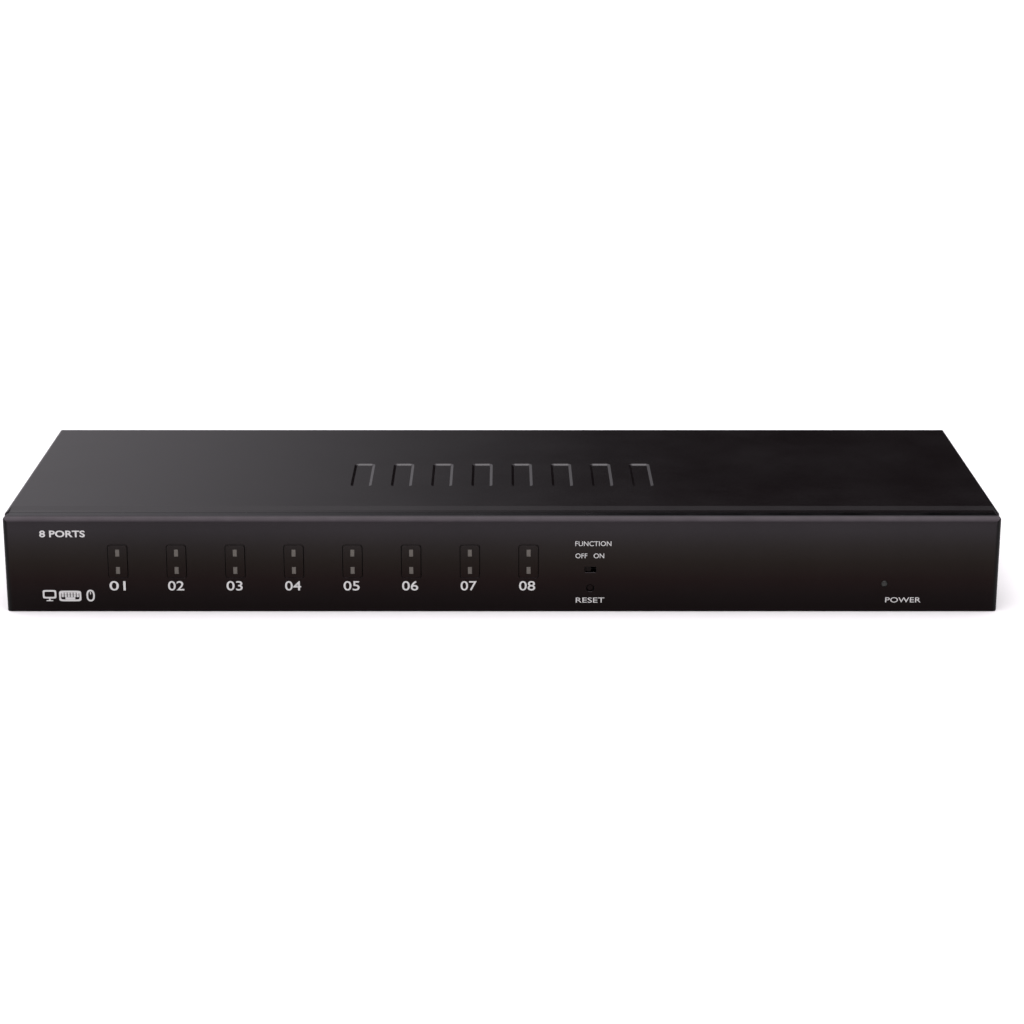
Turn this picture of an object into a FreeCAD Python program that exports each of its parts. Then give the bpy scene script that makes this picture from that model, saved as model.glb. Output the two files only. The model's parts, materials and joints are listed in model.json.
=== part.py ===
import FreeCAD, Part
import math
import os

# Eight-port keyboard, video and mouse switch in a rack-width steel case.
# Millimetres. X runs along the width, +Y towards the rear and +Z up. The origin is
# the centre of the overall box, on the surface that the base tray rests on.

Vector = FreeCAD.Vector

# ---- Driving dimensions ----
WIDTH = 438.0
HEIGHT = 44.0
DEPTH = 150.0  # bezel face to the cover's rear face
SHEET = 1.0  # steel thickness
SHEET_GAP = 0.1  # between the cover's sides and the tray's sides
BEND = 1.5  # outer radius of a sheet bend
BUTTON_PROUD = 0.6  # how far a button stands out of the bezel
CONNECTOR_PROUD = 4.0  # how far the jackscrews stand out of the cover's rear face

FRONT = BUTTON_PROUD - (DEPTH + BUTTON_PROUD + CONNECTOR_PROUD) / 2  # bezel face
REAR = FRONT + DEPTH  # the cover's rear face

# Bezel
BEZEL_DEPTH = 7.0
BEZEL_WALL = 2.2
BEZEL_TOP_ROUND = 3.0
BEZEL_SIDE_ROUND = 3.0
BEZEL_FOOT_ROUND = 1.0
BEZEL_CORNER_ROUND = 2.2  # of the two upper corners, seen from the front
OPENING_CHAMFER = 0.12  # round the openings in the face
HOOK_XS = (-200.0, -100.0, 0.0, 100.0, 200.0)
HOOK_WIDTH = 8.0
RIB_XS = (-212.0, -150.0, -50.0, 50.0, 150.0, 212.0)
HOOK_THICK = 1.4
HOOK_BARB = 1.2
HOOK_GAP = 0.15  # between a hook's arm and the edge of its slot
HOOK_ZS = (5.2, 38.0)

# Base tray
TRAY_HALF = WIDTH / 2 - SHEET - SHEET_GAP
TRAY_FRONT = FRONT + BEZEL_DEPTH  # outer face of the front wall
TRAY_REAR = REAR - SHEET  # outer face of the rear wall
TRAY_TOP = HEIGHT - SHEET - 0.7
TRAY_SIDE_TOP = 39.5
FLANGE = 8.0
CLINCH_R = 2.1  # the foot of a board post, pressed into the floor
RING_X = 180.0  # shallow rings that mark where stick-on feet would go
RING_YS = (FRONT + 22.0, REAR - 15.0)
RING_R = 7.0
RING_WIDTH = 0.7
RING_DEPTH = 0.2

# Top cover
COVER_FRONT = TRAY_FRONT + 0.3
COVER_FOOT = 0.4
STEP_DROP = 0.42  # the cover's front strip is pressed down by this much, level with the bezel
STEP_START = COVER_FRONT + 3.5
STEP_END = COVER_FRONT + 8.8
LIP_BOTTOM = 35.5
LIP_SCREW_XS = (-203.0, 0.0, 203.0)
LIP_SCREW_Z = 38.6
SIDE_SCREW_YS = (FRONT + 47.0, REAR - 9.0)
SIDE_SCREW_Z = 8.0

# Rack-ear holes in each side
EAR_Y = FRONT + 26.0
EAR_Z = 22.0
EAR_PITCH_Y = 24.0
EAR_PITCH_Z = 20.0
EAR_HOLE_R = 1.65
EAR_COLLAR_R = 2.4
EAR_COLLAR_LENGTH = 1.0

# Side vents
VENT_START = FRONT + 60.0
VENT_COUNT = 14
VENT_PITCH = 5.0
VENT_WIDTH = 2.2
VENT_ROWS = ((11.0, 20.0), (24.0, 33.0))

# Row of plain bars pressed into the cover's top
BARS = 8
BAR_Y = FRONT + 67.0
BAR_PITCH = 18.4
BAR_WIDTH = 9.6
BAR_LENGTH = 38.0
BAR_DEPTH = 0.5
BAR_SLOPE = 1.2
BAR_CORNER = 2.0

# Port buttons
PORTS = 8
PORT_FIRST_X = -168.9
PORT_PITCH = 25.8
PORT_Z = 23.3
CAP_WIDTH = 8.4
CAP_HEIGHT = 14.9
CAP_ROUND = 1.1
CAP_WALL = 1.3
CAP_GAP = 0.15
CAP_EDGE = 0.4
FLANGE_RIM = 1.0
LENS_WIDTH = 1.8
LENS_HEIGHT = 3.2
LENS_OFFSET = 4.0
LENS_PROUD = 0.1
LAMP_OFFSET = 4.2  # the lamps behind the light pipes stand clear of the switch
STEM = 3.2
PLUNGER_R = 1.75

WALL_WINDOW = (6.0, 13.0)  # in the tray's front wall, behind each button
WALL_HOLE_R = 2.4  # behind the reset button and the power light
WALL_SLOT = (6.4, 4.0)  # behind the slide switch

# Other front controls
RESET_X = 38.9
RESET_Z = 11.0
RESET_R = 1.5
RESET_RECESS = 0.6
SLIDER_X = 38.9
SLIDER_Z = 19.5
SLIDER_TRAVEL = 2.0
SLIDER_WIDTH = 2.4
SLIDER_HEIGHT = 2.0
SLIDER_RECESS = 0.9
POWER_X = 168.6
POWER_Z = 13.0
POWER_R = 1.45

# Depths behind the bezel's face
FLANGE_FACE = FRONT + BEZEL_WALL + 0.2
FLANGE_BACK = FLANGE_FACE + 1.0
PLUNGER_TIP = FRONT + 8.2
SWITCH_FACE = FRONT + 9.5
BOARD_FACE = FRONT + 13.0
BOARD_THICK = 1.6
BOARD_BACK = BOARD_FACE + BOARD_THICK

# Boards
FRONT_BOARD = (-190.0, 190.0, 7.5, 36.5)
FRONT_POST_XS = (-183.0, 24.6, 183.0)
FRONT_POST_ZS = (13.5, 32.5)
MAIN_HALF = 208.0
MAIN_FRONT = FRONT + 18.0
MAIN_REAR = TRAY_REAR - SHEET - 0.5
POST_HEIGHT = 6.0
MAIN_BOTTOM = SHEET + POST_HEIGHT
MAIN_TOP = MAIN_BOTTOM + BOARD_THICK
MAIN_POST_XS = (-198.0, -70.0, 70.0, 198.0)
MAIN_POST_YS = (FRONT + 28.0, REAR - 25.0)
RIBBON_X = 62.0
RIBBON_WIDTH = 20.0
RIBBON_THICK = 0.9
RIBBON_Z = 24.0
RIBBON_BEND = 6.0
HEADER = 6.0
HEADER_LENGTH = 24.0
CHIP_Y = REAR - 42.0
CONTROLLER_X = 8.0
CONTROLLER_Y = FRONT + 45.0
LEAD_LENGTH = 1.0
CANS = 5
CAN_FIRST_X = 146.0
CAN_PITCH = 12.0
CAN_Y = FRONT + 62.0
CAN_R = 4.0
CAN_HEIGHT = 12.0

# Rear connectors
CPU_FIRST_X = 92.0
CPU_PITCH = 33.0
CPU_XS = tuple(CPU_FIRST_X - CPU_PITCH * i for i in range(PORTS))
VIDEO_X = 133.0
PLUG_Z = MAIN_TOP + 7.2
D_WIDTH = 16.3
D_HEIGHT = 7.9
D_ROUND = 2.4
D_SLOPE = math.tan(math.radians(10.0))
D_SKIN = 0.45
D_TIP = REAR + CONNECTOR_PROUD - 0.2
D_FLANGE = (30.8, 12.5)
D_HOUSING_WIDTH = 30.0
D_HOUSING_DEPTH = 12.8  # from the panel to the housing's inner end
D_HOUSING_RISE = 5.6  # of the housing's top over the connector's middle
SCREW_PITCH = 25.0  # between a connector's two jackscrews
SOCKET_X = 161.0
SOCKET_WIDTH = 14.0
SOCKET_HEIGHT = 13.0
USB_X = 182.0
USB_WIDTH = 13.1
USB_HEIGHT = 15.6
USB_OPENING = (12.4, 5.1)
USB_INSET = 3.9  # from the shell's top or bottom to the middle of an opening
USB_TONGUE = (11.1, 1.9)
USB_TONGUE_RISE = 1.15
DC_X = 202.0
DC_WIDTH = 9.0
DC_HEIGHT = 11.0
SOCKET_PROUD = 0.8  # plastic bodies stand this far out of the rear wall
SOCKET_INNER = TRAY_REAR - 12.5
SOCKET_BORE = 9.5  # depth of the USB openings and of the power inlet's bore
ROUND_SHIELD_R = 4.75  # the groove that the round plug's shield enters
ROUND_CORE_R = 3.7
ROUND_PIN_ANGLES = (0, 40, 140, 180, 240, 300)
DC_BORE_R = 3.15
DC_PIN_R = 1.0
GROUND_X = -196.0
GROUND_Z = 15.8

M3_R = 1.45
M3_CLEAR_R = 1.7
M3_THREAD_R = 1.5
FLAT_HEAD_R = 2.8
SINK_DEPTH = 1.2
JACK_BORE_R = 1.2  # No. 4-40, tapped
JACK_FLATS = 4.8
CONTACT_PITCH = 2.29
CONTACT_STAGGER = 0.57
CONTACT_ROW = 1.98
CONTACT_R = 0.5


# ---- Helpers ----
def box(x0, x1, y0, y1, z0, z1):
    return Part.makeBox(x1 - x0, y1 - y0, z1 - z0, Vector(x0, y0, z0))


def centred(x, z, width, height, y0, y1):
    """A block centred on (x, z) that runs from y0 to y1."""
    return box(x - width / 2, x + width / 2, y0, y1, z - height / 2, z + height / 2)


def rod(x, z, radius, y0, y1):
    """A cylinder along Y."""
    return Part.makeCylinder(radius, y1 - y0, Vector(x, y0, z), Vector(0, 1, 0))


def post(x, y, radius, z0, z1):
    """A cylinder along Z."""
    return Part.makeCylinder(radius, z1 - z0, Vector(x, y, z0))


def edges_along(shape, axis):
    """The straight edges of shape that run along "x", "y" or "z"."""
    found = []
    for edge in shape.Edges:
        if len(edge.Vertexes) == 2 and isinstance(edge.Curve, Part.Line):
            step = edge.Vertexes[1].Point - edge.Vertexes[0].Point
            if abs(getattr(step, axis)) > 0.999 * step.Length:
                found.append(edge)
    return found


def edges_in_plane(shape, axis, value):
    """The edges of shape whose bounds lie in the plane axis = value."""
    low = axis.upper() + "Min"
    high = axis.upper() + "Max"
    found = []
    for edge in shape.Edges:
        bounds = edge.BoundBox
        if max(abs(getattr(bounds, low) - value), abs(getattr(bounds, high) - value)) < 1e-4:
            found.append(edge)
    return found


def rounded(shape, radius, axis):
    """shape with its edges along axis rounded."""
    return shape.makeFillet(radius, edges_along(shape, axis))


def placed(shape, origin, direction):
    """shape, made along +Z at the origin, turned to direction and moved to origin."""
    turned = shape.copy()
    turned.Placement = FreeCAD.Placement(origin, FreeCAD.Rotation(Vector(0, 0, 1), direction))
    return turned


def without(shape, cutters):
    return shape.cut(Part.makeCompound(list(cutters)))


def joined(shapes):
    """One solid from touching or overlapping shapes."""
    return shapes[0].multiFuse(list(shapes[1:])).removeSplitter()


def prism_x(points, x0, x1):
    """A prism along X whose section is the (y, z) outline points."""
    outline = [Vector(x0, y, z) for y, z in points]
    return Part.Face(Part.makePolygon(outline + outline[:1])).extrude(Vector(x1 - x0, 0, 0))


def port_x(index):
    return PORT_FIRST_X + PORT_PITCH * index


def save(name, solids):
    """Writes one node: a solid, or a group of separate solids."""
    group = solids if isinstance(solids, list) else [solids]
    for solid in group:
        assert solid.isValid() and len(solid.Solids) == 1, name
    shape = group[0] if len(group) == 1 else Part.makeCompound(group)
    shape.exportStep(f"parts/{name}.step")


# ---- Fasteners ----
def cross_recess(top, span, depth):
    arms = [
        Part.makeBox(span, 0.7, depth + 1, Vector(-span / 2, -0.35, top - depth)),
        Part.makeBox(0.7, span, depth + 1, Vector(-0.35, -span / 2, top - depth)),
    ]
    return joined(arms).common(Part.makeCone(0.5, span / 2, depth + 0.2, Vector(0, 0, top - depth)))


def pan_screw(origin, direction, length):
    """A pan-head screw whose head seats at origin and faces direction."""
    head_r = 2.8
    head_h = 1.9
    head = Part.makeCylinder(head_r, head_h)
    head = head.makeFillet(0.9, edges_in_plane(head, "z", head_h))
    shank = Part.makeCylinder(M3_R, length, Vector(0, 0, -length))
    screw = joined([head, shank]).cut(cross_recess(head_h, 3.4, 1.2))
    return placed(screw, origin, direction)


def flat_screw(origin, direction, length):
    """A countersunk screw whose head's top face is at origin."""
    head_h = 1.0
    head = Part.makeCone(M3_R, FLAT_HEAD_R, head_h, Vector(0, 0, -head_h))
    shank = Part.makeCylinder(M3_R, length, Vector(0, 0, -length))
    screw = joined([head, shank]).cut(cross_recess(0, 3.0, 0.8))
    return placed(screw, origin, direction)


def hex_post(origin, direction, flats, length, bore_r, bore_depth):
    """A hexagonal post with a blind threaded bore in its far end."""
    corner = flats / math.sqrt(3)
    points = [
        Vector(corner * math.cos(math.radians(60 * k)), corner * math.sin(math.radians(60 * k)), 0)
        for k in range(7)
    ]
    body = Part.Face(Part.makePolygon(points)).extrude(Vector(0, 0, length))
    cone = Part.makeCone(corner + length, corner - 0.25, length + 0.25)
    body = body.common(cone)
    bore = Part.makeCylinder(bore_r, bore_depth, Vector(0, 0, length - bore_depth))
    return placed(body.cut(bore), origin, direction)


# ---- Enclosure ----
def d_block(x, z, width, height, radius, y0, y1):
    """A D-shaped block along Y with its wide side up."""
    lower = width / 2 - height * D_SLOPE
    corners = (
        (x - width / 2, z + height / 2),
        (x + width / 2, z + height / 2),
        (x + lower, z - height / 2),
        (x - lower, z - height / 2),
    )
    outline = [Vector(px, y0, pz) for px, pz in corners]
    block = Part.Face(Part.makePolygon(outline + outline[:1])).extrude(Vector(0, y1 - y0, 0))
    return rounded(block, radius, "y")


def video_xs():
    """The x of every fifteen-way connector, the console's one last."""
    return CPU_XS + (VIDEO_X,)


def rear_cutters():
    """What the rear wall is cut out for."""
    y0 = TRAY_REAR - SHEET - 1
    y1 = TRAY_REAR + 1
    cutters = []
    for x in video_xs():
        cutters.append(d_block(x, PLUG_Z, D_WIDTH + 0.6, D_HEIGHT + 0.6, D_ROUND, y0, y1))
        for side in (-1, 1):
            cutters.append(rod(x + side * SCREW_PITCH / 2, PLUG_Z, 1.6, y0, y1))
    stack_z = MAIN_TOP + SOCKET_HEIGHT
    cutters.append(centred(SOCKET_X, stack_z, SOCKET_WIDTH + 0.4, 2 * SOCKET_HEIGHT + 0.4, y0, y1))
    usb_z = MAIN_TOP + USB_HEIGHT / 2
    cutters.append(centred(USB_X, usb_z, USB_WIDTH + 0.4, USB_HEIGHT + 0.4, y0, y1))
    dc_z = MAIN_TOP + DC_HEIGHT / 2
    cutters.append(centred(DC_X, dc_z, DC_WIDTH + 0.4, DC_HEIGHT + 0.4, y0, y1))
    for x in LIP_SCREW_XS:
        cutters.append(rod(x, LIP_SCREW_Z, M3_THREAD_R, y0, y1))
    cutters.append(rod(GROUND_X, GROUND_Z, M3_THREAD_R, y0, y1))
    return cutters


def front_cutters():
    """What the tray's front wall is cut out for."""
    y0 = TRAY_FRONT - 1
    y1 = TRAY_FRONT + SHEET + 1
    cutters = []
    for index in range(PORTS):
        window = centred(port_x(index), PORT_Z, *WALL_WINDOW, y0, y1)
        cutters.append(rounded(window, 1.5, "y"))
    cutters.append(rod(RESET_X, RESET_Z, WALL_HOLE_R, y0, y1))
    cutters.append(rounded(centred(SLIDER_X, SLIDER_Z, *WALL_SLOT, y0, y1), 1.0, "y"))
    cutters.append(rod(POWER_X, POWER_Z, WALL_HOLE_R, y0, y1))
    slot_height = HOOK_THICK + HOOK_BARB + 2 * HOOK_GAP
    for x in HOOK_XS:
        for z, side in zip(HOOK_ZS, (-1, 1)):
            middle = z - side * HOOK_BARB / 2
            cutters.append(centred(x, middle, HOOK_WIDTH + 4 * HOOK_GAP, slot_height, y0, y1))
    return cutters


def ear_hole_places():
    return [
        (EAR_Y + dy * EAR_PITCH_Y / 2, EAR_Z + dz * EAR_PITCH_Z / 2)
        for dy in (-1, 1)
        for dz in (-1, 1)
    ]


def cross_hole(y, z, radius):
    """A cylinder across the whole width, to drill both sides at once."""
    return Part.makeCylinder(radius, WIDTH + 2, Vector(-WIDTH / 2 - 1, y, z), Vector(1, 0, 0))


def base_tray():
    tray = box(-TRAY_HALF, TRAY_HALF, TRAY_FRONT, TRAY_REAR, 0, TRAY_TOP)
    low_edges = edges_in_plane(tray, "z", 0)
    tray = tray.makeFillet(BEND, low_edges)
    inner = box(
        SHEET - TRAY_HALF,
        TRAY_HALF - SHEET,
        TRAY_FRONT + SHEET,
        TRAY_REAR - SHEET,
        SHEET,
        TRAY_TOP + 1,
    )
    inner = inner.makeFillet(BEND - SHEET, edges_in_plane(inner, "z", SHEET))
    tray = tray.cut(inner)
    side_y0 = TRAY_FRONT + SHEET + 0.4
    side_y1 = TRAY_REAR - SHEET - 0.4
    side_tops = box(-TRAY_HALF - 1, TRAY_HALF + 1, side_y0, side_y1, TRAY_SIDE_TOP, HEIGHT)
    tray = tray.cut(side_tops)
    flange_half = TRAY_HALF - 4.0
    z0 = TRAY_TOP - SHEET
    front_flange = box(-flange_half, flange_half, TRAY_FRONT, TRAY_FRONT + FLANGE, z0, TRAY_TOP)
    rear_flange = box(-flange_half, flange_half, TRAY_REAR - FLANGE, TRAY_REAR, z0, TRAY_TOP)
    tray = joined([tray, front_flange, rear_flange])
    slit = SHEET + 0.4
    corner_slits = [
        box(x - slit, x + slit, y - slit, y + slit, BEND + SHEET, HEIGHT)
        for x in (-TRAY_HALF, TRAY_HALF)
        for y in (TRAY_FRONT, TRAY_REAR)
    ]
    vent_length = VENT_PITCH * VENT_COUNT
    vent_low = VENT_ROWS[0][0] - 1
    vent_high = VENT_ROWS[1][1] + 1
    vent_window = box(-WIDTH, WIDTH, VENT_START - 2, VENT_START + vent_length, vent_low, vent_high)
    cutters = corner_slits + front_cutters() + rear_cutters()
    cutters.append(rounded(vent_window, 3.0, "x"))
    cutters += [cross_hole(y, z, EAR_COLLAR_R + 0.3) for y, z in ear_hole_places()]
    cutters += [cross_hole(y, SIDE_SCREW_Z, M3_THREAD_R) for y in SIDE_SCREW_YS]
    cutters += [post(x, y, CLINCH_R + 0.03, -1, SHEET + 1) for x in MAIN_POST_XS for y in MAIN_POST_YS]
    for x in (-RING_X, RING_X):
        for y in RING_YS:
            cutters.append(post(x, y, RING_R, -1, RING_DEPTH).cut(post(x, y, RING_R - RING_WIDTH, -2, 1)))
    return without(tray, cutters)


def bar_outline(x, z, inset):
    """One pressed bar's outline at height z, drawn in by inset all round."""
    width = BAR_WIDTH / 2 - inset
    length = BAR_LENGTH / 2 - inset
    block = box(x - width, x + width, BAR_Y - length, BAR_Y + length, z, z + 1)
    block = rounded(block, BAR_CORNER - inset, "z")
    return [face for face in block.Faces if face.BoundBox.ZMax < z + 0.001][0].OuterWire


def pressed_bars(top):
    """The row of bars, each a solid that narrows downwards from the height top."""
    bars = []
    for index in range(BARS):
        x = BAR_PITCH * (index - (BARS - 1) / 2)
        outlines = [bar_outline(x, top, 0.0), bar_outline(x, top - BAR_DEPTH, BAR_SLOPE)]
        bars.append(Part.makeLoft(outlines, True))
    return bars


def bent_cover():
    """The cover's top, sides and rear lip."""
    half = WIDTH / 2
    cover = box(-half, half, COVER_FRONT, REAR, COVER_FOOT, HEIGHT)
    bends = [e for e in edges_along(cover, "y") if e.BoundBox.ZMin > HEIGHT - 1]
    top_edges = [e for e in edges_along(cover, "x") if e.BoundBox.ZMin > HEIGHT - 1]
    bends += [e for e in top_edges if e.BoundBox.YMin > REAR - 1]
    cover = cover.makeFillet(BEND, bends)
    inner = box(
        SHEET - half, half - SHEET, COVER_FRONT - 1, REAR - SHEET, COVER_FOOT - 1, HEIGHT - SHEET
    )
    bends = [e for e in edges_along(inner, "y") if e.BoundBox.ZMin > HEIGHT - SHEET - 1]
    cover = cover.cut(inner.makeFillet(BEND - SHEET, bends))
    below_lip = box(SHEET - half, half - SHEET, REAR - SHEET - 1, REAR + 1, COVER_FOOT - 1, LIP_BOTTOM)
    return cover.cut(below_lip)


def with_front_strip(cover):
    """The cover with its front strip pressed down, but for the bends at its two ends."""
    half = WIDTH / 2
    low = HEIGHT - STEP_DROP
    above_step = prism_x(
        (
            (COVER_FRONT - 1, HEIGHT + 1),
            (COVER_FRONT - 1, low),
            (STEP_START, low),
            (STEP_END, HEIGHT),
            (STEP_END, HEIGHT + 1),
        ),
        -half - 1,
        half + 1,
    )
    under_step = prism_x(
        (
            (COVER_FRONT, HEIGHT - SHEET),
            (COVER_FRONT, low - SHEET),
            (STEP_START, low - SHEET),
            (STEP_END, HEIGHT - SHEET),
        ),
        SHEET - half,
        half - SHEET,
    )
    side_keep = [
        box(side * half - 1.6, side * half + 1.6, COVER_FRONT - 2, STEP_END + 1, 0, HEIGHT + 2)
        for side in (-1, 1)
    ]
    return joined([cover, under_step]).cut(without(above_step, side_keep))


def vent_slots():
    half = WIDTH / 2
    slots = []
    for index in range(VENT_COUNT):
        y = VENT_START + VENT_PITCH * index
        for z0, z1 in VENT_ROWS:
            slot = box(-half - 1, half + 1, y, y + VENT_WIDTH, z0, z1)
            slots.append(rounded(slot, 0.49 * VENT_WIDTH, "x"))
    return slots


def ear_collars():
    """Metal drawn inwards round each rack-ear hole, to hold its thread."""
    collars = []
    for y, z in ear_hole_places():
        for side in (-1, 1):
            start = Vector(side * (WIDTH / 2 - SHEET), y, z)
            collars.append(Part.makeCylinder(EAR_COLLAR_R, EAR_COLLAR_LENGTH, start, Vector(-side, 0, 0)))
    return collars


def side_screw_holes():
    """Clearance holes in both sides, sunk for flat heads."""
    holes = []
    for y in SIDE_SCREW_YS:
        holes.append(cross_hole(y, SIDE_SCREW_Z, M3_CLEAR_R))
        for side in (-1, 1):
            outer = Vector(side * (WIDTH / 2 + 0.01), y, SIDE_SCREW_Z)
            sink = Part.makeCone(FLAT_HEAD_R + 0.25, M3_CLEAR_R, SINK_DEPTH, outer, Vector(-side, 0, 0))
            holes.append(sink)
    return holes


def top_cover():
    cover = with_front_strip(bent_cover())
    cover = without(joined([cover] + pressed_bars(HEIGHT - SHEET)), pressed_bars(HEIGHT))
    cutters = vent_slots() + side_screw_holes()
    cutters += [cross_hole(y, z, EAR_HOLE_R) for y, z in ear_hole_places()]
    cutters += [rod(x, LIP_SCREW_Z, M3_CLEAR_R, REAR - SHEET - 1, REAR + 1) for x in LIP_SCREW_XS]
    return without(joined([cover] + ear_collars()), cutters)


def bezel_hook(x, z, side):
    """A snap hook that grips the inner face of the tray's front wall."""
    y0 = FRONT + BEZEL_WALL - 0.5
    catch = TRAY_FRONT + SHEET + 0.1
    tip = catch + 1.7
    base = z - side * HOOK_THICK / 2
    outer = z + side * HOOK_THICK / 2
    points = (
        (y0, base),
        (tip, base),
        (tip, outer + side * 0.2),
        (catch + 0.3, outer + side * HOOK_BARB),
        (catch, outer + side * HOOK_BARB),
        (catch, outer),
        (y0, outer),
    )
    return prism_x(points, x - HOOK_WIDTH / 2, x + HOOK_WIDTH / 2)


def bezel_outline(block):
    """The bezel's block with its front edges and its corners rounded, least at the foot."""
    across = [e for e in edges_along(block, "x") if e.BoundBox.YMax < FRONT + 1]
    ends = [e for e in edges_along(block, "z") if e.BoundBox.YMax < FRONT + 1]
    corners = edges_along(block, "y")
    roundings = (
        (BEZEL_TOP_ROUND, [e for e in across if e.BoundBox.ZMin > 1]),
        (BEZEL_SIDE_ROUND, ends),
        (BEZEL_CORNER_ROUND, [e for e in corners if e.BoundBox.ZMin > 1]),
        (BEZEL_FOOT_ROUND, [e for e in across + corners if e.BoundBox.ZMax < 1]),
    )
    shape = block
    for radius, edges in roundings:
        shape = shape.common(block.makeFillet(radius, edges))
    return shape


def front_bezel():
    half = WIDTH / 2
    back = FRONT + BEZEL_DEPTH
    top = HEIGHT - STEP_DROP
    shell = bezel_outline(box(-half, half, FRONT, back, 0, top))
    inner = half - BEZEL_WALL
    cavity = box(-inner, inner, FRONT + BEZEL_WALL, back + 1, BEZEL_WALL, top - BEZEL_WALL)
    shell = shell.cut(rounded(cavity, 1.0, "y"))

    y0 = FRONT - 1
    y1 = FRONT + BEZEL_WALL + 1
    cutters = []
    for index in range(PORTS):
        width = CAP_WIDTH + 2 * CAP_GAP
        opening = centred(port_x(index), PORT_Z, width, CAP_HEIGHT + 2 * CAP_GAP, y0, y1)
        cutters.append(rounded(opening, CAP_ROUND + CAP_GAP, "y"))
    cutters.append(rod(RESET_X, RESET_Z, RESET_R + 0.2, y0, y1))
    slot_width = SLIDER_WIDTH + SLIDER_TRAVEL + 0.6
    slider_slot = centred(SLIDER_X, SLIDER_Z, slot_width, SLIDER_HEIGHT + 0.6, y0, y1)
    cutters.append(rounded(slider_slot, 0.4, "y"))
    shell = without(shell, cutters)
    rims = [e for e in edges_in_plane(shell, "y", FRONT) if e.BoundBox.XMax - e.BoundBox.XMin < 20]
    rims = [e for e in rims if e.BoundBox.ZMin > 5 and e.BoundBox.ZMax < HEIGHT - 5]
    rims = [e for e in rims if abs(e.BoundBox.XMin) < half - 10]
    shell = shell.makeChamfer(OPENING_CHAMFER, rims)
    shell = shell.cut(rod(POWER_X, POWER_Z, POWER_R + 0.05, y0, y1))

    hooks = [bezel_hook(x, z, side) for x in HOOK_XS for z, side in zip(HOOK_ZS, (-1, 1))]
    ribs = [
        box(x - 0.6, x + 0.6, FRONT + BEZEL_WALL - 0.5, back - 0.2, z0, z1)
        for x in RIB_XS
        for z0, z1 in ((1.5, 9.0), (35.0, top - 1.5))
    ]
    return joined([shell] + hooks + ribs)


# ---- Front controls ----
def port_button(x):
    cap = centred(x, PORT_Z, CAP_WIDTH, CAP_HEIGHT, FRONT - BUTTON_PROUD + LENS_PROUD, FLANGE_FACE)
    cap = rounded(cap, CAP_ROUND, "y")
    cap = cap.makeFillet(CAP_EDGE, edges_in_plane(cap, "y", FRONT - BUTTON_PROUD + LENS_PROUD))
    flange = centred(
        x, PORT_Z, CAP_WIDTH + 2 * FLANGE_RIM, CAP_HEIGHT + 2 * FLANGE_RIM, FLANGE_FACE, FLANGE_BACK
    )
    pocket = centred(
        x,
        PORT_Z,
        CAP_WIDTH - 2 * CAP_WALL,
        CAP_HEIGHT - 2 * CAP_WALL,
        FRONT - BUTTON_PROUD + LENS_PROUD + CAP_WALL,
        FLANGE_BACK + 1,
    )
    stem = centred(x, PORT_Z, STEM, STEM, FRONT - BUTTON_PROUD + CAP_WALL, PLUNGER_TIP)
    button = joined([joined([cap, rounded(flange, 1.5, "y")]).cut(pocket), stem])
    windows = [
        centred(x, PORT_Z + side * LENS_OFFSET, LENS_WIDTH, LENS_HEIGHT, FRONT - 3, FRONT + 2)
        for side in (-1, 1)
    ]
    return without(button, windows)


def port_lenses(x):
    """The two light pipes of one button, each with a shoulder behind the cap's face."""
    lenses = []
    face = FRONT - BUTTON_PROUD
    shoulder = face + LENS_PROUD + CAP_WALL
    for side in (-1, 1):
        z = PORT_Z + side * LENS_OFFSET
        pipe = centred(x, z, LENS_WIDTH, LENS_HEIGHT, face, FRONT + 5.6)
        pipe = pipe.makeFillet(0.25, edges_in_plane(pipe, "y", face))
        collar = centred(x, z, LENS_WIDTH + 0.8, LENS_HEIGHT + 0.6, shoulder, shoulder + 0.6)
        lenses.append(joined([pipe, collar]))
    return lenses


def switch_plunger(x, z):
    tip = rod(x, z, PLUNGER_R, PLUNGER_TIP, SWITCH_FACE + 0.9)
    return tip.makeChamfer(0.2, edges_in_plane(tip, "y", PLUNGER_TIP))


def switch_body(x, z):
    """A square tact switch on the front board, bored for its plunger."""
    body = centred(x, z, 6.0, 6.0, SWITCH_FACE, BOARD_FACE)
    body = rounded(body, 0.4, "y")
    return body.cut(rod(x, z, PLUNGER_R + 0.1, SWITCH_FACE - 1, SWITCH_FACE + 2.2))


def reset_button():
    face = FRONT + RESET_RECESS
    pin = rod(RESET_X, RESET_Z, RESET_R, face, PLUNGER_TIP)
    pin = pin.makeFillet(0.3, edges_in_plane(pin, "y", face))
    flange = rod(RESET_X, RESET_Z, 2.1, FLANGE_FACE, FLANGE_BACK)
    return joined([pin, flange])


def slider_rest_x():
    return SLIDER_X - SLIDER_TRAVEL / 2


def firmware_slider():
    x = slider_rest_x()
    face = FRONT + SLIDER_RECESS
    knob = centred(x, SLIDER_Z, SLIDER_WIDTH, SLIDER_HEIGHT, face, SWITCH_FACE + 1.4)
    grooves = [
        centred(x + dx, SLIDER_Z, 0.3, SLIDER_HEIGHT + 1, face - 1, face + 0.3) for dx in (-0.7, 0.0, 0.7)
    ]
    return without(knob, grooves)


def slide_switch_frame():
    frame = centred(SLIDER_X, SLIDER_Z, 9.0, 4.0, SWITCH_FACE, BOARD_FACE)
    slot = centred(
        SLIDER_X,
        SLIDER_Z,
        SLIDER_WIDTH + SLIDER_TRAVEL + 0.2,
        SLIDER_HEIGHT + 0.2,
        SWITCH_FACE - 1,
        SWITCH_FACE + 1.6,
    )
    return frame.cut(slot)


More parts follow.
